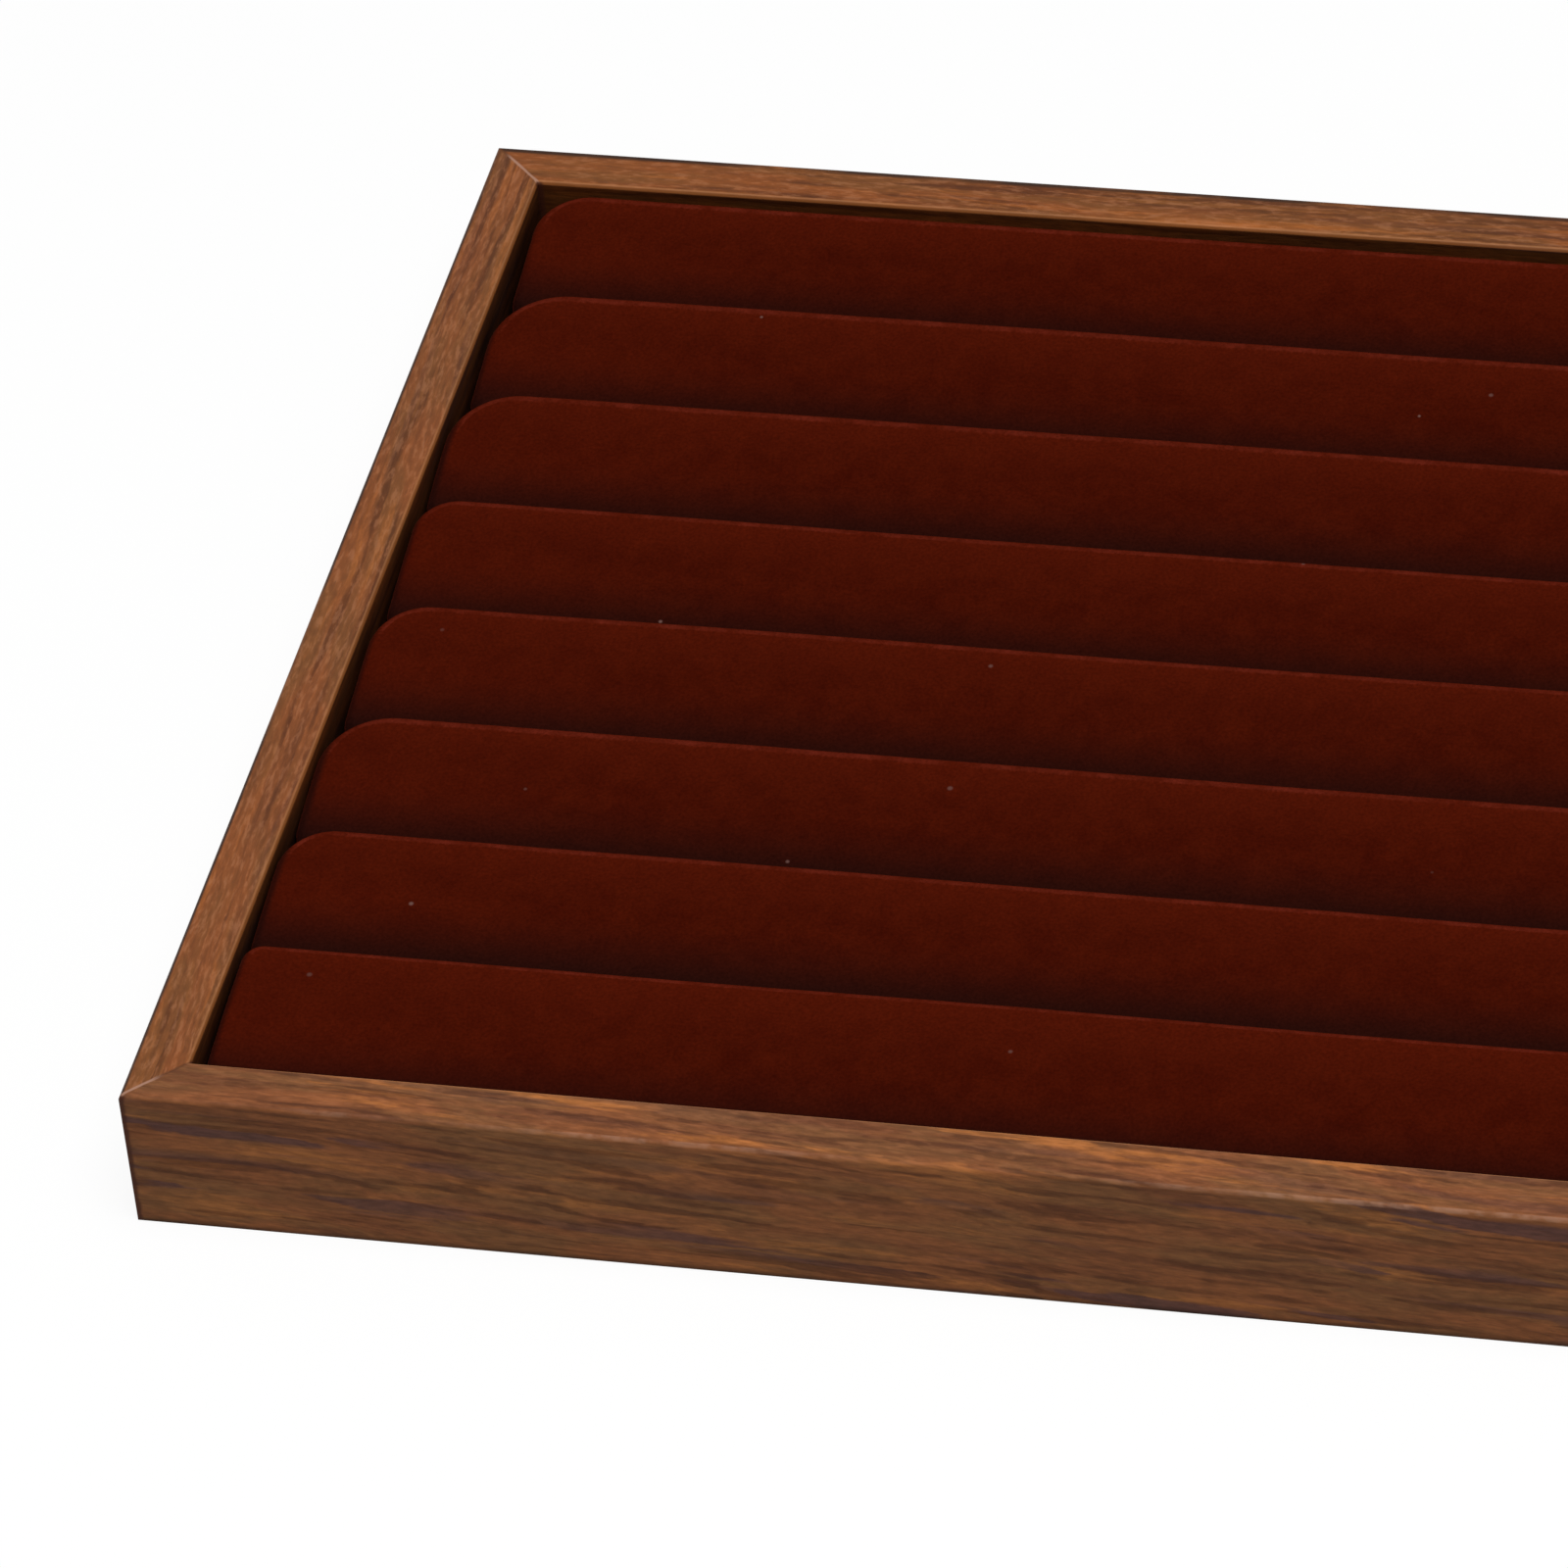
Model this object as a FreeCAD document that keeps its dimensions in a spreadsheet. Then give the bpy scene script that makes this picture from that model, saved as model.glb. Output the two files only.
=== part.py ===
# Open ring display tray: a mitred wooden frame on a bottom board, with a lift-out insert of velvet pads.
# Millimetres. The origin is the middle of the underside, +X runs along the tray, +Y to its back and +Z up.
import FreeCAD, Part
import os

import Sketcher

os.makedirs("parts", exist_ok=True)
doc = FreeCAD.newDocument("ring_tray")

# Driving sizes, one cell each
driving_sizes = {
    # frame
    "frame_length": 350,
    "frame_depth": 240,
    "frame_height": 25,
    "rail_width": 9,
    "arris_radius": 0.8,
    # bottom board, in a rebate along the rails' lower inner edge
    "rebate_width": 4.5,
    "board_thickness": 3,
    "board_recess": 0.4,
    "board_clearance": 0.25,
    # V-nails across the mitres
    "nail_leg": 3.5,
    "nail_thickness": 0.6,
    "nail_height": 7,
    "nail_recess": 0.5,
    # brads through the board into the rails
    "brad_length": 10,
    "brad_diameter": 1.2,
    "brad_head_diameter": 2.4,
    "brad_head_thickness": 0.6,
    "brad_end_distance": 30,
    # insert card
    "card_thickness": 1.6,
    "insert_clearance": 0.8,
    # ring pads
    "crest_drop": 0.4,
    "face_drop": 4.8,
    "face_crown": 0.5,
    "row_slit": 0.4,
    "cover_thickness": 0.8,
    "edge_radius": 1.6,
    "front_radius": 4,
    "wide_corner_radius": 10,
    "tight_corner_radius": 5,
    # how far a cutting profile runs past what it cuts
    "cut_overrun": 5,
}
sizes = doc.addObject("Spreadsheet::Sheet", "sizes")
for row, (alias, number) in enumerate(driving_sizes.items(), start=1):
    sizes.set(f"A{row}", alias)
    sizes.set(f"B{row}", str(number))
    sizes.setAlias(f"B{row}", alias)
doc.recompute()

# Counts, and which pads, counted from the back, have the wide corners
pad_count = 8
wide_corner_pads = (2, 3, 6)
long_rail_brad_count = 4
short_rail_brad_count = 3
# A foam strip's top edges are rounded by this share of the wrap's radius
foam_edge_share = 0.5
# Points closer than this are the same place
same_place = 1e-6
# A sketch's own numbers for an edge's points and for its two axes
start_point_index = 1
end_point_index = 2
centre_point_index = 3
x_axis_index = -1
y_axis_index = -2

# Sizes and places worked out from the driving ones
half_length = "(sizes.frame_length / 2)"
half_depth = "(sizes.frame_depth / 2)"
inner_half_length = f"({half_length} - sizes.rail_width)"
inner_half_depth = f"({half_depth} - sizes.rail_width)"
lip_width = "(sizes.rail_width - sizes.rebate_width)"
rebate_height = "(sizes.board_recess + sizes.board_thickness)"
card_top = f"({rebate_height} + sizes.card_thickness)"
card_length = f"(2 * {inner_half_length} - 2 * sizes.insert_clearance)"
card_depth = f"(2 * {inner_half_depth} - 2 * sizes.insert_clearance)"
pad_depth = f"(({card_depth} - {pad_count - 1} * sizes.row_slit) / {pad_count})"
pad_height = f"(sizes.frame_height - sizes.crest_drop - {card_top})"
face_slope = f"(sizes.face_drop / {pad_depth})"
foam_length = f"({card_length} - 2 * sizes.cover_thickness)"
foam_depth = f"({pad_depth} - 2 * sizes.cover_thickness)"
foam_height = f"({pad_height} - sizes.cover_thickness * ({face_slope} + sqrt(1 + {face_slope} ^ 2)))"
foam_drop = f"({face_slope} * {foam_depth})"

nodes = []


def value(expression):
    return float(sizes.evalExpression(expression))


def new_body(label):
    body = doc.addObject("PartDesign::Body", label)
    body.Label = label
    return body


def new_sketch(body, name, role):
    plane = next(item for item in body.Origin.OriginFeatures if item.Role == role)
    sketch = body.newObject("Sketcher::SketchObject", f"{body.Name}_{name}")
    sketch.AttachmentSupport = [(plane, "")]
    sketch.MapMode = "FlatFace"
    return sketch


def bind_constraint(sketch, constraint, expression):
    number = sketch.addConstraint(constraint)
    sketch.setExpression(f"Constraints[{number}]", expression)


def hold_point(sketch, edge, vertex, x, y):
    # Holds a point at bound distances from the origin, or on an axis where the distance is zero.
    for kind, axis, expression in (("DistanceX", y_axis_index, x), ("DistanceY", x_axis_index, y)):
        if expression == "0":
            sketch.addConstraint(Sketcher.Constraint("PointOnObject", edge, vertex, axis))
        else:
            distance = value(expression)
            constraint = Sketcher.Constraint(kind, x_axis_index, start_point_index, edge, vertex, distance)
            bind_constraint(sketch, constraint, expression)


def join_edges(sketch, edge, next_edge):
    ends = (edge, end_point_index, next_edge, start_point_index)
    sketch.addConstraint(Sketcher.Constraint("Coincident", *ends))


def draw_outline(sketch, corners):
    # Straight edges round the corners, each corner given as two expressions.
    first = sketch.GeometryCount
    points = [FreeCAD.Vector(value(x), value(y), 0) for x, y in corners]
    for start, end in zip(points, points[1:] + points[:1]):
        sketch.addGeometry(Part.LineSegment(start, end), False)
    for index, (x, y) in enumerate(corners):
        edge = first + index
        next_edge = first + (index + 1) % len(corners)
        join_edges(sketch, edge, next_edge)
        hold_point(sketch, edge, start_point_index, x, y)


def draw_circles(sketch, centres, diameter):
    for x, y in centres:
        centre = FreeCAD.Vector(value(x), value(y), 0)
        upward = FreeCAD.Vector(0, 0, 1)
        circle = sketch.addGeometry(Part.Circle(centre, upward, value(diameter) / 2), False)
        hold_point(sketch, circle, centre_point_index, x, y)
        bind_constraint(sketch, Sketcher.Constraint("Diameter", circle, value(diameter)), diameter)


def add_pad(body, sketch, length):
    pad = body.newObject("PartDesign::Pad", f"{sketch.Name}_pad")
    pad.Profile = sketch
    pad.setExpression("Length", length)
    body.Tip = pad
    doc.recompute()


def cut_up(body, sketch, depth):
    # Cuts from the sketch's plane upwards, into the solid above it.
    pocket = body.newObject("PartDesign::Pocket", f"{sketch.Name}_cut")
    pocket.Profile = sketch
    pocket.Reversed = True
    pocket.setExpression("Length", depth)
    body.Tip = pocket
    doc.recompute()


def cut_through(body, sketch):
    # Cuts both ways from the sketch's plane, through the whole solid.
    pocket = body.newObject("PartDesign::Pocket", f"{sketch.Name}_cut")
    pocket.Profile = sketch
    pocket.SideType = "Symmetric"
    pocket.Type = "ThroughAll"
    body.Tip = pocket
    doc.recompute()


def round_edges(body, name, chosen, radius):
    # Rounds the edges of the body's present shape that the test chooses.
    base = body.Tip
    names = [f"Edge{number}" for number, edge in enumerate(base.Shape.Edges, start=1) if chosen(edge)]
    fillet = body.newObject("PartDesign::Fillet", f"{body.Name}_{name}")
    fillet.Base = (base, names)
    fillet.setExpression("Radius", radius)
    body.Tip = fillet
    doc.recompute()


def runs_along(edge, axis):
    # True for an edge that is straight along X, Y or Z, given as 0, 1 or 2.
    ends = [vertex.Point for vertex in edge.Vertexes]
    if len(ends) != 2:
        return False
    along = ends[1] - ends[0]
    is_straight = abs(edge.Length - along.Length) < same_place
    return is_straight and abs(abs(along[axis]) - along.Length) < same_place


def lies_at(edge, axis, place):
    return all(abs(vertex.Point[axis] - place) < same_place for vertex in edge.Vertexes)


def brad_places(half_span, count):
    # Evenly spread along a rail, with the end ones a set distance from the inner corners.
    reach = f"({half_span} - sizes.brad_end_distance)"
    end_shares = [2 * index / (count - 1) - 1 for index in range(count)]
    return ["0" if share == 0 else f"{share} * {reach}" for share in end_shares]


rebate_line_x = f"({inner_half_length} + sizes.rebate_width / 2)"
rebate_line_y = f"({inner_half_depth} + sizes.rebate_width / 2)"
brad_centres = {
    "front_rail": [(x, f"-{rebate_line_y}") for x in brad_places(inner_half_length, long_rail_brad_count)],
    "back_rail": [(x, rebate_line_y) for x in brad_places(inner_half_length, long_rail_brad_count)],
    "left_rail": [(f"-{rebate_line_x}", y) for y in brad_places(inner_half_depth, short_rail_brad_count)],
    "right_rail": [(rebate_line_x, y) for y in brad_places(inner_half_depth, short_rail_brad_count)],
}
nail_line_x = f"({half_length} - {lip_width} / 2)"
nail_line_y = f"({half_depth} - {lip_width} / 2)"


def make_rail(label, axis, side):
    # A mitred rail along axis 0 (X) or 1 (Y), on the negative or positive side of the tray.
    outer = (half_length, half_depth)
    inner = (inner_half_length, inner_half_depth)
    across = 1 - axis
    near = f"{side} * {inner[across]}"
    far = f"{side} * {outer[across]}"

    def in_plan(along, over):
        return (along, over) if axis == 0 else (over, along)

    body = new_body(label)
    plan = new_sketch(body, "plan", "XY_Plane")
    long_edge = [(f"-{outer[axis]}", far), (outer[axis], far)]
    short_edge = [(inner[axis], near), (f"-{inner[axis]}", near)]
    draw_outline(plan, [in_plan(along, over) for along, over in long_edge + short_edge])
    add_pad(body, plan, "sizes.frame_height")

    rebate = new_sketch(body, "rebate", "YZ_Plane" if axis == 0 else "XZ_Plane")
    rebate_wall = f"{side} * ({inner[across]} + sizes.rebate_width)"
    open_side = f"{side} * ({inner[across]} - sizes.cut_overrun)"
    rebate_corners = [
        (rebate_wall, "-sizes.cut_overrun"),
        (open_side, "-sizes.cut_overrun"),
        (open_side, rebate_height),
        (rebate_wall, rebate_height),
    ]
    draw_outline(rebate, rebate_corners)
    cut_through(body, rebate)

    nail_line = (nail_line_x, nail_line_y)
    slots = new_sketch(body, "nail_slots", "XY_Plane")
    low = f"({side} * {nail_line[across]} - sizes.nail_thickness / 2)"
    high = f"({side} * {nail_line[across]} + sizes.nail_thickness / 2)"
    for end in (-1, 1):
        outer_end = f"{end} * ({nail_line[axis]} + sizes.nail_thickness / 2)"
        leg_end = f"{end} * ({nail_line[axis]} - sizes.nail_leg)"
        slot_corners = [(outer_end, low), (leg_end, low), (leg_end, high), (outer_end, high)]
        draw_outline(slots, [in_plan(along, over) for along, over in slot_corners])
    cut_up(body, slots, "sizes.nail_recess + sizes.nail_height")

    holes = new_sketch(body, "brad_holes", "XY_Plane")
    draw_circles(holes, brad_centres[label], "sizes.brad_diameter")
    cut_up(body, holes, "sizes.board_recess + sizes.brad_length")

    top = value("sizes.frame_height")
    round_edges(body, "arrises", lambda e: runs_along(e, axis) and lies_at(e, 2, top), "sizes.arris_radius")
    nodes.append(body)


def make_board():
    body = new_body("bottom_board")
    plan = new_sketch(body, "plan", "XY_Plane")
    reach_x = f"({inner_half_length} + sizes.rebate_width - sizes.board_clearance)"
    reach_y = f"({inner_half_depth} + sizes.rebate_width - sizes.board_clearance)"
    front_edge = [(f"-{reach_x}", f"-{reach_y}"), (reach_x, f"-{reach_y}")]
    back_edge = [(reach_x, reach_y), (f"-{reach_x}", reach_y)]
    draw_outline(plan, front_edge + back_edge)
    add_pad(body, plan, "sizes.board_thickness")
    centres = [centre for places in brad_centres.values() for centre in places]
    shanks = new_sketch(body, "brad_holes", "XY_Plane")
    draw_circles(shanks, centres, "sizes.brad_diameter")
    cut_up(body, shanks, "sizes.board_thickness")
    heads = new_sketch(body, "brad_head_seats", "XY_Plane")
    draw_circles(heads, centres, "sizes.brad_head_diameter")
    cut_up(body, heads, "sizes.brad_head_thickness")
    body.setExpression("Placement.Base.z", "sizes.board_recess")
    nodes.append(body)


def place(item, x, y, z):
    item.setExpression("Placement.Base.x", x)
    item.setExpression("Placement.Base.y", y)
    item.setExpression("Placement.Base.z", z)


def fuse_pair(name, first, second):
    pair = doc.addObject("Part::Fuse", name)
    pair.Base = first
    pair.Tool = second
    return pair


def make_group(label, members):
    group = doc.addObject("Part::Compound", label)
    group.Label = label
    group.Links = members
    nodes.append(group)


def make_nail_leg(name, axis, x_side, y_side):
    # One leg of a V-nail, along X or Y from the point where both legs meet on the mitre.
    leg = doc.addObject("Part::Box", name)
    long_way = "sizes.nail_leg + sizes.nail_thickness / 2"
    leg.setExpression("Length", long_way if axis == 0 else "sizes.nail_thickness")
    leg.setExpression("Width", "sizes.nail_thickness" if axis == 0 else long_way)
    leg.setExpression("Height", "sizes.nail_height")
    corner = []
    for direction, side, line in ((0, x_side, nail_line_x), (1, y_side, nail_line_y)):
        runs_to_middle = direction == axis and side > 0
        step_back = "sizes.nail_leg" if runs_to_middle else "sizes.nail_thickness / 2"
        corner.append(f"{side} * {line} - {step_back}")
    place(leg, corner[0], corner[1], "sizes.nail_recess")
    return leg


def make_nails():
    nails = []
    for number, (x_side, y_side) in enumerate(((-1, -1), (1, -1), (1, 1), (-1, 1)), start=1):
        legs = [make_nail_leg(f"nail_{number}_leg_{axis}", axis, x_side, y_side) for axis in (0, 1)]
        nails.append(fuse_pair(f"nail_{number}", *legs))
    make_group("corner_v_nails", nails)


def make_brads():
    brads = []
    centres = [centre for places in brad_centres.values() for centre in places]
    for number, (x, y) in enumerate(centres, start=1):
        shank = doc.addObject("Part::Cylinder", f"brad_{number}_shank")
        shank.setExpression("Radius", "sizes.brad_diameter / 2")
        shank.setExpression("Height", "sizes.brad_length")
        place(shank, x, y, "sizes.board_recess")
        head = doc.addObject("Part::Cylinder", f"brad_{number}_head")
        head.setExpression("Radius", "sizes.brad_head_diameter / 2")
        head.setExpression("Height", "sizes.brad_head_thickness")
        place(head, x, y, "sizes.board_recess")
        brads.append(fuse_pair(f"brad_{number}", shank, head))
    make_group("board_brads", brads)


def make_card():
    card = doc.addObject("Part::Box", "insert_card")
    card.Label = "insert_card"
    card.setExpression("Length", card_length)
    card.setExpression("Width", card_depth)
    card.setExpression("Height", "sizes.card_thickness")
    place(card, f"-{card_length} / 2", f"-{card_depth} / 2", rebate_height)
    nodes.append(card)


def draw_crown_cut(sketch, depth, height, drop):
    # What lies above the face: a shallow arc from the top back edge down to the front, closed above it.
    chord_squared = f"({depth} ^ 2 + {drop} ^ 2)"
    crown_radius = f"(({chord_squared} / 4 + sizes.face_crown ^ 2) / (2 * sizes.face_crown))"
    front_height = f"({height} - {drop})"
    past_front = f"-({depth} + sizes.cut_overrun)"
    above = f"({height} + sizes.cut_overrun)"
    back_top = FreeCAD.Vector(0, value(height), 0)
    front_top = FreeCAD.Vector(-value(depth), value(front_height), 0)
    chord = front_top - back_top
    outward = FreeCAD.Vector(chord.y, -chord.x, 0).normalize()
    middle = (back_top + front_top) / 2 + outward * value("sizes.face_crown")
    crown = sketch.addGeometry(Part.Arc(back_top, middle, front_top), False)
    hold_point(sketch, crown, start_point_index, "0", height)
    hold_point(sketch, crown, end_point_index, f"-{depth}", front_height)
    bind_constraint(sketch, Sketcher.Constraint("Radius", crown, value(crown_radius)), crown_radius)
    turns = [(past_front, front_height), (past_front, above), ("0", above)]
    points = [front_top] + [FreeCAD.Vector(value(x), value(y), 0) for x, y in turns] + [back_top]
    previous = crown
    for start, end in zip(points, points[1:]):
        edge = sketch.addGeometry(Part.LineSegment(start, end), False)
        join_edges(sketch, previous, edge)
        previous = edge
    for number, (x, y) in enumerate(turns, start=crown + 1):
        hold_point(sketch, number, end_point_index, x, y)
    join_edges(sketch, previous, crown)


def make_strip(label, length, depth, height, drop, radii):
    # A crowned strip whose back lies along X at y = 0, with rounded back corners, front edge and top edges.
    corner_radius, front_radius, edge_radius = radii
    body = new_body(label)
    plan = new_sketch(body, "plan", "XY_Plane")
    half = f"({length} / 2)"
    draw_outline(plan, [(f"-{half}", f"-{depth}"), (half, f"-{depth}"), (half, "0"), (f"-{half}", "0")])
    add_pad(body, plan, height)
    above_face = new_sketch(body, "above_face", "YZ_Plane")
    draw_crown_cut(above_face, depth, height, drop)
    cut_through(body, above_face)
    front = -value(depth)
    foot = value(f"{height} - {drop}")
    round_edges(body, "back_corners", lambda e: runs_along(e, 2) and lies_at(e, 1, 0), corner_radius)
    round_edges(body, "front_edge", lambda e: lies_at(e, 1, front) and lies_at(e, 2, foot), front_radius)
    top = value(height)
    round_edges(body, "upper_edges", lambda e: runs_along(e, 0) and lies_at(e, 2, top), edge_radius)
    return body


def make_ring_pad(number):
    corner = "sizes.wide_corner_radius" if number in wide_corner_pads else "sizes.tight_corner_radius"
    wrap_radii = (corner, "sizes.front_radius", "sizes.edge_radius")
    foam_radii = (
        f"{corner} - sizes.cover_thickness",
        "sizes.front_radius - sizes.cover_thickness",
        f"sizes.edge_radius * {foam_edge_share}",
    )
    back = f"({inner_half_depth} - sizes.insert_clearance - {number - 1} * ({pad_depth} + sizes.row_slit))"
    wrap_sizes = (card_length, pad_depth, pad_height, "sizes.face_drop")
    wrapped = make_strip(f"ring_pad_{number}_wrapped", *wrap_sizes, wrap_radii)
    place(wrapped, "0", back, card_top)
    foam_sizes = (foam_length, foam_depth, foam_height, foam_drop)
    foam = make_strip(f"ring_pad_{number}_foam", *foam_sizes, foam_radii)
    place(foam, "0", f"{back} - sizes.cover_thickness", card_top)
    cover = doc.addObject("Part::Cut", f"ring_pad_{number}_cover")
    cover.Label = f"ring_pad_{number}_cover"
    cover.Base = wrapped
    cover.Tool = foam
    nodes.extend([foam, cover])


make_rail("front_rail", 0, -1)
make_rail("back_rail", 0, 1)
make_rail("left_rail", 1, -1)
make_rail("right_rail", 1, 1)
make_board()
make_nails()
make_brads()
make_card()
for pad_number in range(1, pad_count + 1):
    make_ring_pad(pad_number)
doc.recompute()

for item in doc.Objects:
    if "Invalid" in item.State or "Error" in item.State:
        raise RuntimeError(f"{item.Label} failed: {item.State}")
    if item.TypeId == "PartDesign::Pocket" and not item.Shape.Volume < item.BaseFeature.Shape.Volume:
        raise RuntimeError(f"{item.Label} cuts nothing")
for node in nodes:
    if node.Shape.isNull() or not node.Shape.isValid():
        raise RuntimeError(f"{node.Label} has no valid shape")
for node in nodes:
    node.Shape.exportStep(f"parts/{node.Label}.step")
    print(f"{node.Label}: {len(node.Shape.Solids)} solids, {node.Shape.Volume:.0f} mm3")
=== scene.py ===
import math

import bpy
from mathutils import Matrix, Vector, noise


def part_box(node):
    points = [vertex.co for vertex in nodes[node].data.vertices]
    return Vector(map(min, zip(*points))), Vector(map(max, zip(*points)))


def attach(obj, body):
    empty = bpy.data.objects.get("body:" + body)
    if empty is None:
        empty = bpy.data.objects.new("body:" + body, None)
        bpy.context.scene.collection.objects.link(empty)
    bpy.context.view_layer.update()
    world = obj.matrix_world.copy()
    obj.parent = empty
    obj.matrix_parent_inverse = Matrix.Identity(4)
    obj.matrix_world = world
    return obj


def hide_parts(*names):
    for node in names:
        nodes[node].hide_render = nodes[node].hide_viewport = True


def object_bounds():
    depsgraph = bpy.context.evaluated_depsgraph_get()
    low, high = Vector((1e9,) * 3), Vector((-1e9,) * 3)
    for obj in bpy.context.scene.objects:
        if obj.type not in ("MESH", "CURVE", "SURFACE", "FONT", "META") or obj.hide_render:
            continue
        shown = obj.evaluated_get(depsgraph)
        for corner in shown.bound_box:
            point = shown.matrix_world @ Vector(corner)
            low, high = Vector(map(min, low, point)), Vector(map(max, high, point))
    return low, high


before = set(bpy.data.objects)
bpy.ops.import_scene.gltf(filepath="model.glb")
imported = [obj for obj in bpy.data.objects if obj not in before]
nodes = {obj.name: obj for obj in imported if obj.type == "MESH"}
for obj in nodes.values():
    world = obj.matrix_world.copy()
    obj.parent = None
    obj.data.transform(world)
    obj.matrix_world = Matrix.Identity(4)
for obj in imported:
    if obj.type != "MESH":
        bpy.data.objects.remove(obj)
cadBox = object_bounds()
mm = 0.001

# sizes that several materials need, read from the frame itself
frameHigh = cadBox[1]
halfLength = frameHigh.x
halfDepth = frameHigh.y
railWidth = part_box("front_rail")[1].y + halfDepth
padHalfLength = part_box("ring_pad_1_cover")[1].x


# small helpers for node trees
nodeGap = 190  # between nodes in the editor
white = (1, 1, 1, 1)
plainNoise = {"detail": 2.0, "roughness": 0.5, "mean": 0.5}
colourSockets = {"factor": 0, "a": 6, "b": 7, "result": 2}  # of a Mix node
valueSockets = {"factor": 0, "a": 2, "b": 3, "result": 0}


def fillInputs(tree, node, inputs):
    # inputs may be sockets to link or plain values to set
    for key, value in inputs.items():
        if isinstance(value, bpy.types.NodeSocket):
            tree.links.new(value, node.inputs[key])
        else:
            node.inputs[key].default_value = value


def addNode(tree, kind, inputs=None, **settings):
    node = tree.nodes.new(kind)
    node.location = (len(tree.nodes) * nodeGap, 0)
    for name, value in settings.items():
        setattr(node, name, value)
    fillInputs(tree, node, inputs or {})
    return node


def axesOf(tree, vector):
    return addNode(tree, "ShaderNodeSeparateXYZ", {"Vector": vector}).outputs


def calc(tree, operation, first, second=0.0):
    return addNode(tree, "ShaderNodeMath", {0: first, 1: second}, operation=operation).outputs[0]


def product(tree, first, *others):
    for other in others:
        first = calc(tree, "MULTIPLY", first, other)
    return first


def inverse(tree, value):
    return calc(tree, "SUBTRACT", 1.0, value)


def smoothStep(tree, value, start, end):
    limits = {"Value": value, "From Min": start, "From Max": end}
    return addNode(tree, "ShaderNodeMapRange", limits, interpolation_type="SMOOTHSTEP").outputs["Result"]


def spread(tree, value, low, high):
    limits = {"Value": value, "To Min": low, "To Max": high}
    return addNode(tree, "ShaderNodeMapRange", limits).outputs["Result"]


def mixed(tree, sockets, factor, a, b, **settings):
    inputs = {sockets["factor"]: factor, sockets["a"]: a, sockets["b"]: b}
    return addNode(tree, "ShaderNodeMix", inputs, **settings).outputs[sockets["result"]]


def mixValue(tree, factor, a, b):
    return mixed(tree, valueSockets, factor, a, b)


def mixColour(tree, factor, a, b, blend="MIX"):
    return mixed(tree, colourSockets, factor, a, b, data_type="RGBA", blend_type=blend)


def tinted(tree, colour, tint):
    return mixColour(tree, 1.0, colour, tint, "MULTIPLY")


def shaded(tree, colour, lightness):
    # a colour times a grey level
    grey = addNode(tree, "ShaderNodeCombineColor", {"Red": lightness, "Green": lightness, "Blue": lightness})
    return tinted(tree, colour, grey.outputs[0])


def pattern(tree, vector, look):
    # noise with features about this long (X) and wide (Y, Z), in metres; a mask if the look has a cut
    along, across = look["size"]
    scale = (1 / along, 1 / across, 1 / across)
    scaled = addNode(tree, "ShaderNodeMapping", {"Vector": vector, "Scale": scale}).outputs[0]
    values = {
        "Vector": scaled,
        "Scale": 1.0,
        "Detail": look.get("detail", plainNoise["detail"]),
        "Roughness": look.get("roughness", plainNoise["roughness"]),
    }
    value = addNode(tree, "ShaderNodeTexNoise", values).outputs["Fac"]
    if "cut" in look:
        value = smoothStep(tree, value, *look["cut"])
    return value


def newGroup(name, inputs, outputs):
    tree = bpy.data.node_groups.new(name, "ShaderNodeTree")
    for label, (kind, default) in inputs.items():
        socket = tree.interface.new_socket(name=label, in_out="INPUT", socket_type="NodeSocket" + kind)
        if default is not None:
            socket.default_value = default
    for label in outputs:
        tree.interface.new_socket(name=label, in_out="OUTPUT", socket_type="NodeSocketFloat")
    source = addNode(tree, "NodeGroupInput").outputs
    sink = addNode(tree, "NodeGroupOutput").inputs
    return tree, source, sink


def sendOut(tree, sink, results):
    for label, result in results.items():
        tree.links.new(result, sink[label])


def placeGroup(tree, group, inputs):
    node = addNode(tree, "ShaderNodeGroup", node_tree=group)
    fillInputs(tree, node, inputs)
    return node.outputs


def newMaterial(name, shaderValues):
    material = bpy.data.materials.new(name)
    material.use_nodes = True
    tree = material.node_tree
    shader = tree.nodes["Principled BSDF"]
    for key, value in shaderValues.items():
        shader.inputs[key].default_value = value
    return material, tree, shader


def link(tree, source, shader, key):
    tree.links.new(source, shader.inputs[key])


def addBump(tree, shader, height, distance, strength):
    bump = addNode(tree, "ShaderNodeBump", {"Height": height, "Distance": distance, "Strength": strength})
    link(tree, bump.outputs["Normal"], shader, "Normal")


def dress(nodeName, material):
    mesh = nodes[nodeName].data
    mesh.materials.clear()
    mesh.materials.append(material)


# shared effects
figure = {
    # size: length along the grain and width across it; cut: where a mask starts and where it is full
    "sway": {"size": (70 * mm, 16 * mm)},
    "ragged": {"size": (3 * mm, 0.8 * mm)},
    "bands": {"size": (60 * mm, 3.4 * mm), "detail": 4, "roughness": 0.6},
    "streakZones": {"size": (150 * mm, 9 * mm), "cut": (0.42, 0.56)},
    "streaks": {"size": (90 * mm, 2.6 * mm), "detail": 1, "cut": (0.53, 0.6)},
    "lines": {"size": (55 * mm, 1.5 * mm), "detail": 1, "cut": (0.52, 0.66)},
    "fibres": {"size": (9 * mm, 0.42 * mm), "detail": 3, "roughness": 0.6},
    "pores": {"size": (3.5 * mm, 0.45 * mm), "cut": (0.6, 0.7)},
    "mottle": {"size": (3.2 * mm, 0.75 * mm), "detail": 3, "roughness": 0.6, "cut": (0.28, 0.72)},
    "warmth": {"size": (30 * mm, 5 * mm), "detail": 3},
    "wander": 6 * mm,  # how far the grain sways
    "raggedness": 0.55 * mm,
}
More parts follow.
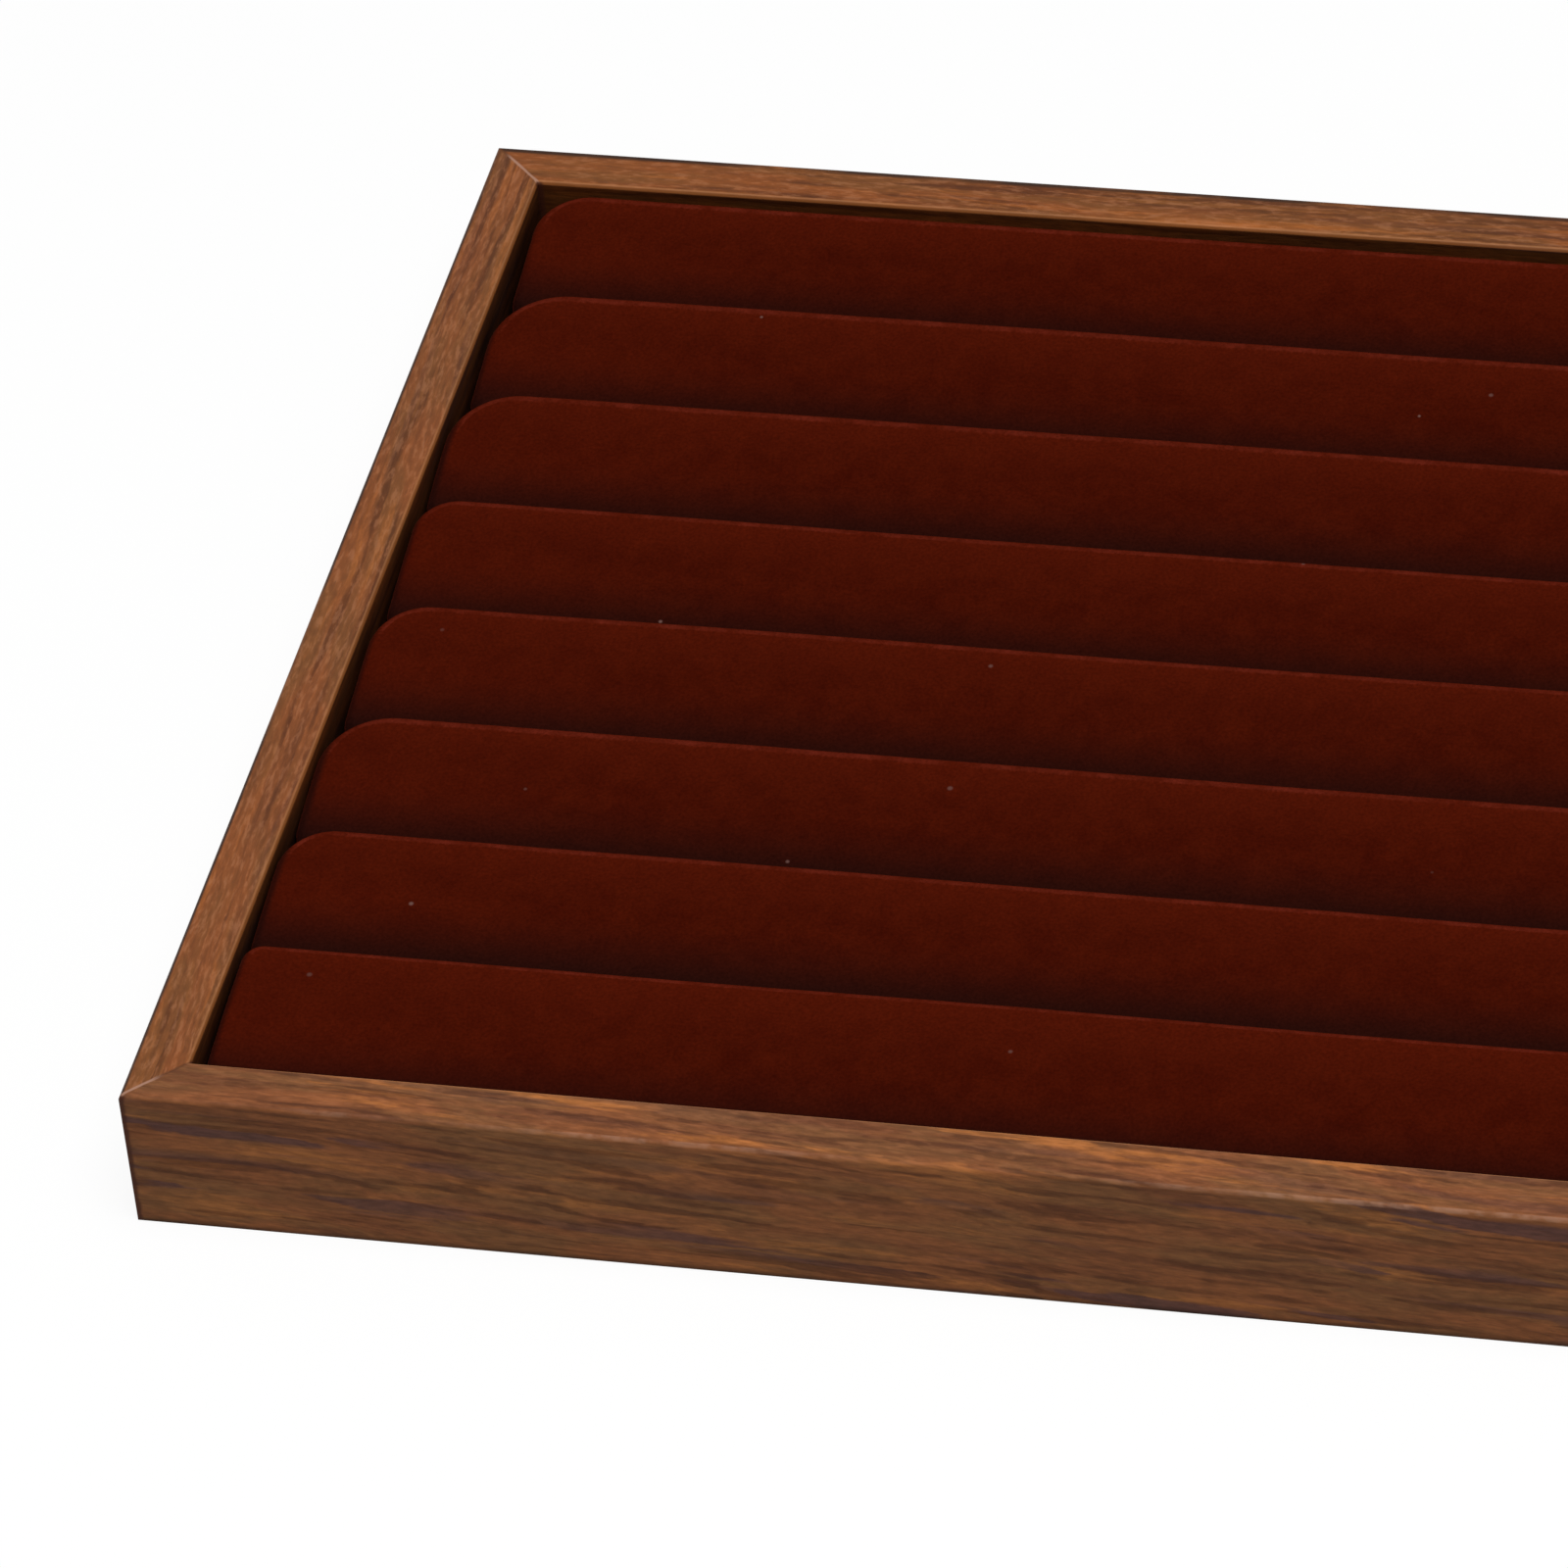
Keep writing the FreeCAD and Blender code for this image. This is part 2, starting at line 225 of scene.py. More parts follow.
mitreLook = {
    "width": 0.5 * mm,
    "ragged": {"size": (2 * mm, 2 * mm), "detail": 3},
    "reach": (0.4, 1.6),  # least and most of the width
    "core": 0.4,  # share of the reach where the line is full
    # shares of the rail's width, from outside, over which pale glue ends in front and starts at the back
    "frontGlue": (0.4, 0.65),
    "backGlue": (0.18, 0.36),
}
arrisLook = {
    # upward part of the surface's direction, where a mask starts and where it is full
    "rising": (0.12, 0.5),
    "flat": (0.94, 0.998),
    "upper": (0.72, 0.86),
    "tilted": (0.1, 0.4),
    "top": (0.5, 0.95),
    "under": (-0.4, -0.8),
    "stretches": {"size": (60 * mm, 60 * mm), "cut": (0.4, 0.55)},
    "scuffs": {"size": (5 * mm, 5 * mm), "detail": 4, "roughness": 0.7, "cut": (0.36, 0.6)},
}
flockLook = {
    "patchDetail": 5.0,
    "patchRoughness": 0.65,
    "pile": {"size": (0.5 * mm, 0.5 * mm), "detail": 3},
    "lintCell": 11 * mm,
    "lintSize": (0.025, 0.055),  # shares of a cell
    "lintCore": 0.3,  # share of a speck where it is full
    "lintStrength": (0.2, 1.0),
}


def makeGrainGroup():
    # wood figure with the grain along X
    inputs = {"Vector": ("Vector", None), "Slant": ("Float", 0.0)}
    outputs = ["Bands", "Streaks", "Lines", "Fibres", "Pores", "Mottle", "Warmth"]
    tree, source, sink = newGroup("grainFigure", inputs, outputs)
    axes = axesOf(tree, source["Vector"])
    shift = calc(tree, "MULTIPLY", axes["X"], source["Slant"])
    for key, size in (("sway", figure["wander"]), ("ragged", figure["raggedness"])):
        offset = calc(tree, "SUBTRACT", pattern(tree, source["Vector"], figure[key]), plainNoise["mean"])
        shift = calc(tree, "ADD", shift, product(tree, offset, size))
    across = {"Y": calc(tree, "ADD", axes["Y"], shift), "Z": calc(tree, "ADD", axes["Z"], shift)}
    grain = addNode(tree, "ShaderNodeCombineXYZ", {"X": axes["X"], **across}).outputs[0]
    streaks = pattern(tree, grain, figure["streaks"])
    sendOut(tree, sink, {
        "Bands": pattern(tree, grain, figure["bands"]),
        "Streaks": product(tree, streaks, pattern(tree, grain, figure["streakZones"])),
        "Lines": pattern(tree, grain, figure["lines"]),
        "Fibres": pattern(tree, grain, figure["fibres"]),
        "Pores": pattern(tree, grain, figure["pores"]),
        "Mottle": pattern(tree, grain, figure["mottle"]),
        "Warmth": pattern(tree, grain, figure["warmth"]),
    })
    return tree


def makeMitreGroup():
    # how near a point is to a corner's mitre plane, and its distance in from the frame's outer faces
    inputs = {"Vector": ("Vector", None), "Width": ("Float", mitreLook["width"])}
    tree, source, sink = newGroup("mitreLine", inputs, ["Line", "Seam", "Inset"])
    axes = axesOf(tree, source["Vector"])
    fromEnd = calc(tree, "SUBTRACT", halfLength, calc(tree, "ABSOLUTE", axes["X"]))
    fromSide = calc(tree, "SUBTRACT", halfDepth, calc(tree, "ABSOLUTE", axes["Y"]))
    away = calc(tree, "ABSOLUTE", calc(tree, "SUBTRACT", fromEnd, fromSide))
    ragged = pattern(tree, source["Vector"], mitreLook["ragged"])
    reach = product(tree, source["Width"], spread(tree, ragged, *mitreLook["reach"]))
    line = inverse(tree, smoothStep(tree, away, product(tree, reach, mitreLook["core"]), reach))
    inset = calc(tree, "MINIMUM", fromEnd, fromSide)
    share = calc(tree, "DIVIDE", inset, railWidth)
    # glue shows pale in the outer half of the front mitres and in the inner part of the back ones
    isBack = calc(tree, "GREATER_THAN", axes["Y"], 0.0)
    frontPart = inverse(tree, smoothStep(tree, share, *mitreLook["frontGlue"]))
    backPart = smoothStep(tree, share, *mitreLook["backGlue"])
    part = mixValue(tree, isBack, frontPart, backPart)
    sendOut(tree, sink, {"Line": line, "Seam": product(tree, line, part), "Inset": inset})
    return tree


def makeArrisGroup():
    # masks from the surface's own direction: flat top, rubbed outer arris with a painted highlight, painted
    # highlight and shade on the inner arris, painted shade on the inner walls, and underside
    inputs = {"Vector": ("Vector", None), "Normal": ("Vector", None)}
    outputs = ["Top", "RubbedAndHighlight", "InnerLipHighlight", "InnerTurnShade", "WallShade", "Under"]
    tree, source, sink = newGroup("arrisWearLightAndShade", inputs, outputs)
    upward = axesOf(tree, source["Normal"])["Z"]
    height = axesOf(tree, source["Vector"])["Z"]
    rising = smoothStep(tree, upward, *arrisLook["rising"])
    notFlat = inverse(tree, smoothStep(tree, upward, *arrisLook["flat"]))
    upper = smoothStep(tree, upward, *arrisLook["upper"])
    upright = inverse(tree, smoothStep(tree, upward, *arrisLook["tilted"]))
    under = smoothStep(tree, upward, *arrisLook["under"])
    # outward of the tray's middle, in plan
    products = {0: source["Vector"], 1: source["Normal"]}
    outward = addNode(tree, "ShaderNodeVectorMath", products, operation="DOT_PRODUCT").outputs["Value"]
    outward = calc(tree, "SUBTRACT", outward, product(tree, upward, height))
    isOuter = calc(tree, "GREATER_THAN", outward, 0.0)
    isInner = inverse(tree, isOuter)
    stretches = pattern(tree, source["Vector"], arrisLook["stretches"])
    scuffs = pattern(tree, source["Vector"], arrisLook["scuffs"])
    sendOut(tree, sink, {
        "Top": smoothStep(tree, upward, *arrisLook["top"]),
        "RubbedAndHighlight": product(tree, rising, notFlat, isOuter, stretches, scuffs),
        "InnerLipHighlight": product(tree, notFlat, upper, isInner),
        "InnerTurnShade": product(tree, inverse(tree, upper), inverse(tree, upright), isInner),
        "WallShade": product(tree, upright, inverse(tree, under), isInner),
        "Under": under,
    })
    return tree


def makeFlockGroup():
    # soft patches, fine pile and sparse pale lint for cloth and card
    inputs = {"Vector": ("Vector", None), "Patch": ("Float", 5 * mm), "Lint": ("Float", 0.0)}
    tree, source, sink = newGroup("flockNap", inputs, ["Patches", "Pile", "Lint"])
    byPatch = addNode(tree, "ShaderNodeVectorMath", {0: source["Vector"]}, operation="SCALE")
    link(tree, calc(tree, "DIVIDE", 1.0, source["Patch"]), byPatch, "Scale")
    patch = {
        "Vector": byPatch.outputs[0],
        "Scale": 1.0,
        "Detail": flockLook["patchDetail"],
        "Roughness": flockLook["patchRoughness"],
    }
    cells = {"Vector": source["Vector"], "Scale": 1 / flockLook["lintCell"]}
    cell = addNode(tree, "ShaderNodeTexVoronoi", cells, voronoi_dimensions="2D", feature="F1").outputs
    chance = addNode(tree, "ShaderNodeSeparateColor", {"Color": cell["Color"]}).outputs
    span = spread(tree, chance["Green"], *flockLook["lintSize"])
    near = smoothStep(tree, cell["Distance"], span, product(tree, span, flockLook["lintCore"]))
    chosen = calc(tree, "LESS_THAN", chance["Red"], source["Lint"])
    strength = spread(tree, chance["Blue"], *flockLook["lintStrength"])
    sendOut(tree, sink, {
        "Patches": addNode(tree, "ShaderNodeTexNoise", patch).outputs["Fac"],
        "Pile": pattern(tree, source["Vector"], flockLook["pile"]),
        "Lint": product(tree, near, chosen, strength),
    })
    return tree


grainGroup = makeGrainGroup()
mitreGroup = makeMitreGroup()
arrisGroup = makeArrisGroup()
flockGroup = makeFlockGroup()
print("node groups:", [group.name for group in bpy.data.node_groups])


# walnut rails
walnut = {
    "mid": (0.25, 0.088, 0.031, 1),
    "dark": (0.155, 0.054, 0.021, 1),
    "orange": (0.45, 0.162, 0.042, 1),
    "olive": (0.20, 0.082, 0.030, 1),
    "fleck": (0.36, 0.155, 0.075, 1),
    "streak": (0.090, 0.040, 0.036, 1),
    "line": (0.072, 0.022, 0.008, 1),
    # painted highlight on the inner arris
    "lipHighlight": (0.46, 0.195, 0.075, 1),
    # painted shade where the inner arris turns down into the wall
    "turn": (0.20, 0.062, 0.012, 1),
    # rubbed wear on the outer arris, partly a painted highlight
    "rubbedAndHighlight": (0.36, 0.19, 0.12, 1),
    "seam": (0.55, 0.31, 0.22, 1),
    "corner": (0.05, 0.013, 0.007, 1),
    # painted shadow along the outer edge
    "edge": (0.016, 0.008, 0.005, 1),
    # tint of the painted shade on the inner walls
    "wallShadeTint": (1.0, 0.72, 0.42, 1),
    "roughness": (0.45, 0.62),
    "specular": 0.1,
    "bump": (0.06 * mm, 0.5),  # depth and strength
    "poreDepth": 0.8,
    # figure values where a colour starts and where it is full
    "warmRange": (0.4, 0.6),
    "darkRange": (0.5, 0.3),
    "glowRange": (0.53, 0.66),
    "fleckRange": (0.5, 1.0),
    "edgeRange": (0.3, 0.5),
    # how much of each effect shows
    "streakShare": (0.8, 0.25),  # on the sides and on the top
    "glowShare": 0.42,  # on the sides
    "lineShare": 0.58,
    "poreShare": 0.2,
    "fibreLight": (0.68, 1.32),
    "turnShadeShare": 0.8,
    "seamShare": (0.5, 0.55),  # dark line and pale glue at a mitre
    "jointShare": 0.85,
    "footLight": 0.32,
    # where they lie
    "edgeDepth": (0.6 * mm, 1.2 * mm),  # below the top, where the painted shadow on the outer edge ends
    "edgeCore": 0.6,  # share of the painted edge shadow's width where it is full
    "wallShadeDepth": 4 * mm,
    "footShade": 1.2 * mm,
    "cornerWidth": 1.1 * mm,  # dark joint down the outer corners
}
rails = {
    # turn and shift of the grain, then how much each effect shows; wall: light left by the painted shade at
    # the inner wall's top and further down
    "front_rail": {
        "turn": 0, "shift": (0.3, 0.1, 0.0), "slant": 0.075, "mottle": (0.78, 1.16),
        "rubbedAndHighlight": 0.5, "edge": 0.0, "edgeLine": 0.5 * mm, "lipHighlight": 0.4, "wall": (0.6, 0.4),
        "tint": (0.96, 0.91, 0.9, 1), "glow": 0.85, "fleck": 0.1,
    },
    "back_rail": {
        "turn": 0, "shift": (1.7, 0.4, 0.2), "slant": 0.02, "mottle": (0.74, 1.1),
        "rubbedAndHighlight": 0.0, "edge": 0.9, "edgeLine": 1.8 * mm, "lipHighlight": 0.45, "wall": (0.3, 0.42),
        "tint": (1.06, 0.88, 0.63, 1), "glow": 0.5, "fleck": 0.35,
    },
    "left_rail": {
        "turn": 90, "shift": (2.9, 0.7, 0.1), "slant": -0.015, "mottle": (0.76, 1.1),
        "rubbedAndHighlight": 0.0, "edge": 0.85, "edgeLine": 0.85 * mm, "lipHighlight": 0.36, "wall": (0.5, 0.16),
        "tint": (1.0, 0.87, 0.73, 1), "glow": 0.35, "fleck": 0.35,
    },
    "right_rail": {
        "turn": 90, "shift": (4.1, 1.1, 0.3), "slant": 0.03, "mottle": (0.76, 1.1),
        "rubbedAndHighlight": 0.0, "edge": 0.85, "edgeLine": 0.85 * mm, "lipHighlight": 0.36, "wall": (0.6, 0.4),
        "tint": (1.0, 0.87, 0.73, 1), "glow": 0.35, "fleck": 0.35,
    },
}


def figuredWood(tree, rail, grain, top):
    # bands, glow, streaks, lines, fibres and pores, then the top's own tint and flecks
    warm = smoothStep(tree, grain["Warmth"], *walnut["warmRange"])
    colour = mixColour(tree, warm, walnut["olive"], walnut["mid"])
    colour = mixColour(tree, smoothStep(tree, grain["Bands"], *walnut["darkRange"]), colour, walnut["dark"])
    glow = smoothStep(tree, grain["Bands"], *walnut["glowRange"])
    glow = product(tree, glow, spread(tree, top, walnut["glowShare"], rail["glow"]))
    colour = mixColour(tree, glow, colour, walnut["orange"])
    streaks = product(tree, grain["Streaks"], spread(tree, top, *walnut["streakShare"]))
    colour = mixColour(tree, streaks, colour, walnut["streak"])
    colour = mixColour(tree, product(tree, grain["Lines"], walnut["lineShare"]), colour, walnut["line"])
    fibres = spread(tree, grain["Fibres"], *walnut["fibreLight"])
    colour = shaded(tree, colour, product(tree, fibres, spread(tree, grain["Mottle"], *rail["mottle"])))
    colour = mixColour(tree, product(tree, grain["Pores"], walnut["poreShare"]), colour, walnut["line"])
    colour = mixColour(tree, top, colour, tinted(tree, colour, rail["tint"]))
    flecks = smoothStep(tree, grain["Mottle"], *walnut["fleckRange"])
    return mixColour(tree, product(tree, flecks, top, rail["fleck"]), colour, walnut["fleck"])


def arrisHighlightShadeAndWear(tree, rail, colour, arris):
    # painted highlight on the inner lip, painted shade where it turns into the wall, rubbed wear with a
    # painted highlight on the outer arris
    colour = mixColour(tree, product(tree, arris["InnerLipHighlight"], rail["lipHighlight"]), colour, walnut["lipHighlight"])
    colour = mixColour(tree, product(tree, arris["InnerTurnShade"], walnut["turnShadeShare"]), colour, walnut["turn"])
    return mixColour(tree, product(tree, arris["RubbedAndHighlight"], rail["rubbedAndHighlight"]), colour, walnut["rubbedAndHighlight"])


def darkenedEdges(tree, rail, colour, arris, inset, warmth, height):
    # painted shadow along the patchy dark outer edge, painted shade on the inner wall and at the foot
    below = calc(tree, "SUBTRACT", frameHigh.z, height)
    # painted shadow along the outer edge, in patches
    edge = smoothStep(tree, inset, rail["edgeLine"], walnut["edgeCore"] * rail["edgeLine"])
    nearTop = inverse(tree, smoothStep(tree, below, *walnut["edgeDepth"]))
    patchy = smoothStep(tree, warmth, *walnut["edgeRange"])
    colour = mixColour(tree, product(tree, edge, nearTop, patchy, rail["edge"]), colour, walnut["edge"])
    # painted shade on the inner wall, deeper below the top
    wallLight = spread(tree, smoothStep(tree, below, 0.0, walnut["wallShadeDepth"]), *rail["wall"])
    colour = shaded(tree, colour, calc(tree, "MAXIMUM", inverse(tree, arris["WallShade"]), wallLight))
    colour = mixColour(tree, arris["WallShade"], colour, tinted(tree, colour, walnut["wallShadeTint"]))
    foot = calc(tree, "MAXIMUM", smoothStep(tree, height, 0.0, walnut["footShade"]), arris["Under"])
    return shaded(tree, colour, spread(tree, foot, walnut["footLight"], 1.0))


def joinedMitres(tree, colour, vector, mitre, top):
    # a glue seam on the top, a dark joint down the sides
    corner = placeGroup(tree, mitreGroup, {"Vector": vector, "Width": walnut["cornerWidth"]})
    lineShare, glueShare = walnut["seamShare"]
    colour = mixColour(tree, product(tree, mitre["Line"], top, lineShare), colour, walnut["line"])
    colour = mixColour(tree, product(tree, mitre["Seam"], top, glueShare), colour, walnut["seam"])
    joint = product(tree, corner["Line"], inverse(tree, top), walnut["jointShare"])
    return mixColour(tree, joint, colour, walnut["corner"])


def makeWalnut(railName, rail):
    material, tree, shader = newMaterial("walnut_" + railName, {"Specular IOR Level": walnut["specular"]})
    coords = addNode(tree, "ShaderNodeTexCoord").outputs
    turn = (0, 0, math.radians(-rail["turn"]))
    placing = {"Vector": coords["Object"], "Rotation": turn, "Location": rail["shift"]}
    grainSpace = addNode(tree, "ShaderNodeMapping", placing).outputs[0]
    grain = placeGroup(tree, grainGroup, {"Vector": grainSpace, "Slant": rail["slant"]})
    mitre = placeGroup(tree, mitreGroup, {"Vector": coords["Object"]})
    arris = placeGroup(tree, arrisGroup, {"Vector": coords["Object"], "Normal": coords["Normal"]})
    height = axesOf(tree, coords["Object"])["Z"]
    colour = figuredWood(tree, rail, grain, arris["Top"])
    colour = arrisHighlightShadeAndWear(tree, rail, colour, arris)
    colour = darkenedEdges(tree, rail, colour, arris, mitre["Inset"], grain["Warmth"], height)
    colour = joinedMitres(tree, colour, coords["Object"], mitre, arris["Top"])
    link(tree, colour, shader, "Base Color")
    link(tree, spread(tree, grain["Fibres"], *walnut["roughness"]), shader, "Roughness")
    relief = calc(tree, "SUBTRACT", grain["Fibres"], product(tree, grain["Pores"], walnut["poreDepth"]))
    addBump(tree, shader, relief, *walnut["bump"])
    return material


for railName, rail in rails.items():
    dress(railName, makeWalnut(railName, rail))
print("walnut on", len(rails), "rails")


# bottom board, insert card and fasteners
board = {
    "pale": (0.42, 0.28, 0.16, 1),
    "dark": (0.28, 0.17, 0.09, 1),
    "shader": {"Roughness": 0.75, "Specular IOR Level": 0.25},
    "slant": 0.015,
    "bandRange": (0.35, 0.65),
    "poreShare": 0.5,
    "bump": (0.06 * mm, 0.4),
}
card = {
    "base": (0.036, 0.033, 0.032, 1),
    "patch": (0.055, 0.05, 0.048, 1),
    "lint": (0.25, 0.22, 0.2, 1),
    "shader": {"Roughness": 0.9, "Specular IOR Level": 0.2},
    "flock": {"Patch": 5 * mm, "Lint": 0.2},
    "lintShare": 0.5,
    "bump": (0.05 * mm, 0.4),
}
steel = {
    "bright": (0.52, 0.52, 0.53, 1),
    "dull": (0.2, 0.18, 0.17, 1),
    "stain": {"size": (1.5 * mm, 1.5 * mm), "detail": 3, "cut": (0.4, 0.65)},
    "roughness": (0.32, 0.6),
}


def makeBoard():
    material, tree, shader = newMaterial("board_veneer", board["shader"])
    coords = addNode(tree, "ShaderNodeTexCoord").outputs
    grain = placeGroup(tree, grainGroup, {"Vector": coords["Object"], "Slant": board["slant"]})
    bands = smoothStep(tree, grain["Bands"], *board["bandRange"])
    colour = mixColour(tree, bands, board["dark"], board["pale"])
    colour = mixColour(tree, product(tree, grain["Pores"], board["poreShare"]), colour, board["dark"])
    link(tree, colour, shader, "Base Color")
    addBump(tree, shader, grain["Fibres"], *board["bump"])
    return material


def makeCard():
    material, tree, shader = newMaterial("insert_card_paper", card["shader"])
    coords = addNode(tree, "ShaderNodeTexCoord").outputs
    flock = placeGroup(tree, flockGroup, {"Vector": coords["Object"], **card["flock"]})
    colour = mixColour(tree, flock["Patches"], card["base"], card["patch"])
    colour = mixColour(tree, product(tree, flock["Lint"], card["lintShare"]), colour, card["lint"])
    link(tree, colour, shader, "Base Color")
    addBump(tree, shader, flock["Pile"], *card["bump"])
    return material


def makeSteel():
    material, tree, shader = newMaterial("fastener_steel", {"Metallic": 1.0})
    coords = addNode(tree, "ShaderNodeTexCoord").outputs
    stain = pattern(tree, coords["Object"], steel["stain"])
    link(tree, mixColour(tree, stain, steel["bright"], steel["dull"]), shader, "Base Color")
    link(tree, spread(tree, stain, *steel["roughness"]), shader, "Roughness")
    return material


dress("bottom_board", makeBoard())
dress("insert_card", makeCard())
steelMaterial = makeSteel()
for fastener in ("corner_v_nails", "board_brads"):
    dress(fastener, steelMaterial)
print("board, card and fasteners finished")


# velvet ring pads
rows = {
    # one value for each pad, counted from the back; lengths in millimetres
    "lean": (-1.4, 0.05, 1.2, 0.7, 1.9, 1.8, 1.2, 1.4),  # how far the crest leans back
    "askew": (-0.45, -0.15, 0.05, 0.0, 0.2, 0.2, -0.1, 0.3),  # more lean for each 100 mm to the right
    "leftCorner": (9.0, 12.0, 11.0, 7.0, 9.0, 11.0, 8.5, 3.4),  # back corner's radius in plan
    "rightCorner": (6.0, 9.0, 11.5, 6.0, 5.5, 10.0, 6.0, 4.0),
    "faceDrop": (4.8, 4.8, 4.6, 4.4, 4.4, 4.2, 3.6, 3.0),  # from the crest to the front edge
    "endBulge": (-0.6, -0.1, 0.5, -0.1, -0.1, 0.7, 0.5, 0.0),
    "shadeReach": (1.0, 1.0, 1.0, 1.0, 1.0, 1.0, 1.0, 0.85),  # the open front row darkens later
}
pads = {
    "frontCorner": 3.4 * mm,
    "crestDrop": 0.4 * mm,  # below the rails
    "crown": 0.5 * mm,
    "backRound": 1.6 * mm,
    "endRound": 1.8 * mm,
    "frontRound": 2.8 * mm,
    "footTuck": 0.7 * mm,
    "leanFrom": 14 * mm,  # height where the lean starts
    "leanBend": 1.5,
    "askewRun": 100.0,
    "bulgeRise": 1.6,
    "napRun": 10 * mm,  # length of wall that counts as one more share of nap
    "footShare": 2.0,  # share of nap under the foot
    "rimSheen": (0.3, 1.2),  # painted highlight on the rim at the ends, and how much more at the back
    "rimFade": 1.5,
    "fill": 0.85,
}
foam = {
    # slight unevenness of the filling
    "wave": 0.22 * mm,
    "ripple": 0.09 * mm,
    "along": 14.0,  # waves for each metre
    "across": 20.0,
    "rowStep": 3.7,  # sets each row's waves apart
    "fineness": 6.0,  # of the ripple against the wave
    "heightShift": Vector((7.0, 0, 0)),
    "sag": 0.5,
}
padGrid = {"long": 150, "deep": 26, "corner": 6, "round": 7, "wall": 5}


def padForm(number):
    low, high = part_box(f"ring_pad_{number}_cover")
    row = {key: values[number - 1] for key, values in rows.items()}
    return {
        "number": number,
        "low": low,
        "high": high,
        "depth": high.y - low.y,
        "top": frameHigh.z - pads["crestDrop"],
        "drop": row["faceDrop"] * mm,
        "leftCorner": row["leftCorner"] * mm,
        "rightCorner": row["rightCorner"] * mm,
        "lean": row["lean"] * mm,
        "askew": row["askew"] / pads["askewRun"],
        "bulge": row["endBulge"] * mm / high.x,
        "reach": row["shadeReach"],
    }


def arcPoints(centre, radius, start, end):
    # points of an arc with their outward directions; angles in degrees
    points = []
    for step in range(padGrid["corner"] + 1):
        angle = math.radians(start + (end - start) * step / padGrid["corner"])
        outward = Vector((math.cos(angle), math.sin(angle)))
        points.append((centre + outward * radius, outward))
    return points


def sidePoints(firstArc, lastArc, count):
    # one side of the outline: half a corner, a straight run, half a corner
    first, last = arcPoints(*firstArc), arcPoints(*lastArc)
    here, outward = first[-1]
    there = last[0][0]
    run = count - 2 * padGrid["corner"]
    straight = [(here.lerp(there, step / run), outward) for step in range(1, run)]
    return first + straight + last


def padOutline(form):
    low, high = form["low"], form["high"]
    front, left, right = pads["frontCorner"], form["leftCorner"], form["rightCorner"]
    frontLeft = (Vector((low.x + front, low.y + front)), front)
    frontRight = (Vector((high.x - front, low.y + front)), front)
    backRight = (Vector((high.x - right, high.y - right)), right)
    backLeft = (Vector((low.x + left, high.y - left)), left)
    return {
        "front": sidePoints((*frontLeft, 225, 270), (*frontRight, 270, 315), padGrid["long"]),
        "back": sidePoints((*backLeft, 135, 90), (*backRight, 90, 45), padGrid["long"]),
        "left": sidePoints((*frontLeft, 225, 180), (*backLeft, 180, 135), padGrid["deep"]),
        "right": sidePoints((*frontRight, 315, 360), (*backRight, 0, 45), padGrid["deep"]),
    }


def shareAt(form, y):
    # 0 at the face's back edge, 1 at its front edge
    return (form["high"].y - y) / form["depth"]


def faceHeight(form, y):
    share = shareAt(form, y)
    return form["top"] - form["drop"] * share + 4 * pads["crown"] * share * (1 - share)


def faceRise(form, y):
    # slope of the face towards the back
    return (form["drop"] - 4 * pads["crown"] * (1 - 2 * shareAt(form, y))) / form["depth"]


def roundedPoint(form, point, outward, turn):
    # a point of the rounded edge, from the face (turn 0) to the wall (turn 1)
    across = pads["backRound"] if outward.y > 0 else pads["frontRound"]
    radius = pads["endRound"] * outward.x ** 2 + across * outward.y ** 2
    rise = faceRise(form, point.y) * outward.y
    start = -math.atan(rise)
    angle = start + (math.pi / 2 - start) * turn
    centreZ = faceHeight(form, point.y) - rise * radius - radius * math.sqrt(1 + rise * rise)
    place = point - outward * (radius - radius * math.sin(angle))
    return Vector((place.x, place.y, centreZ + radius * math.cos(angle)))


def rimSheen(outward):
    # painted highlight: the nap catches light round the back and the end corners, not along the front
    ends, more = pads["rimSheen"]
    return min(1.0, max(0.0, ends + more * outward.y))


def addFace(form, sides, skin):
    # the face is a grid stretched between the inner lines of its four sides
    inner = {key: [roundedPoint(form, *place, 0) for place in line] for key, line in sides.items()}
    front, back, left, right = (inner[key] for key in ("front", "back", "left", "right"))
    nLong, nDeep = padGrid["long"], padGrid["deep"]
    for j in range(nDeep + 1):
        v = j / nDeep
        for i in range(nLong + 1):
            u = i / nLong
            ruled = front[i] * (1 - v) + back[i] * v
            ruled += left[j] * (1 - u) + right[j] * u
            ends = (front[0] * (1 - u) + front[-1] * u) * (1 - v)
            ends += (back[0] * (1 - u) + back[-1] * u) * v
            place = ruled - ends
            place.z = faceHeight(form, place.y)
            skin["verts"].append(place)
            skin["napShare"].append(shareAt(form, place.y) * form["reach"])
            skin["rimLight"].append(0.0)
    for j in range(nDeep):
        for i in range(nLong):
            a = j * (nLong + 1) + i
            skin["faces"].append((a, a + 1, a + nLong + 2, a + nLong + 1))


def faceRim(sides):
    # the grid's rim, anticlockwise: index, place on the outline and outward direction
    nLong, nDeep = padGrid["long"], padGrid["deep"]
    line = nLong + 1
    rim = [(i, *sides["front"][i]) for i in range(nLong)]
    rim += [(j * line + nLong, *sides["right"][j]) for j in range(nDeep)]
    rim += [(nDeep * line + i, *sides["back"][i]) for i in range(nLong, 0, -1)]
    rim += [(j * line, *sides["left"][j]) for j in range(nDeep, 0, -1)]
    return rim


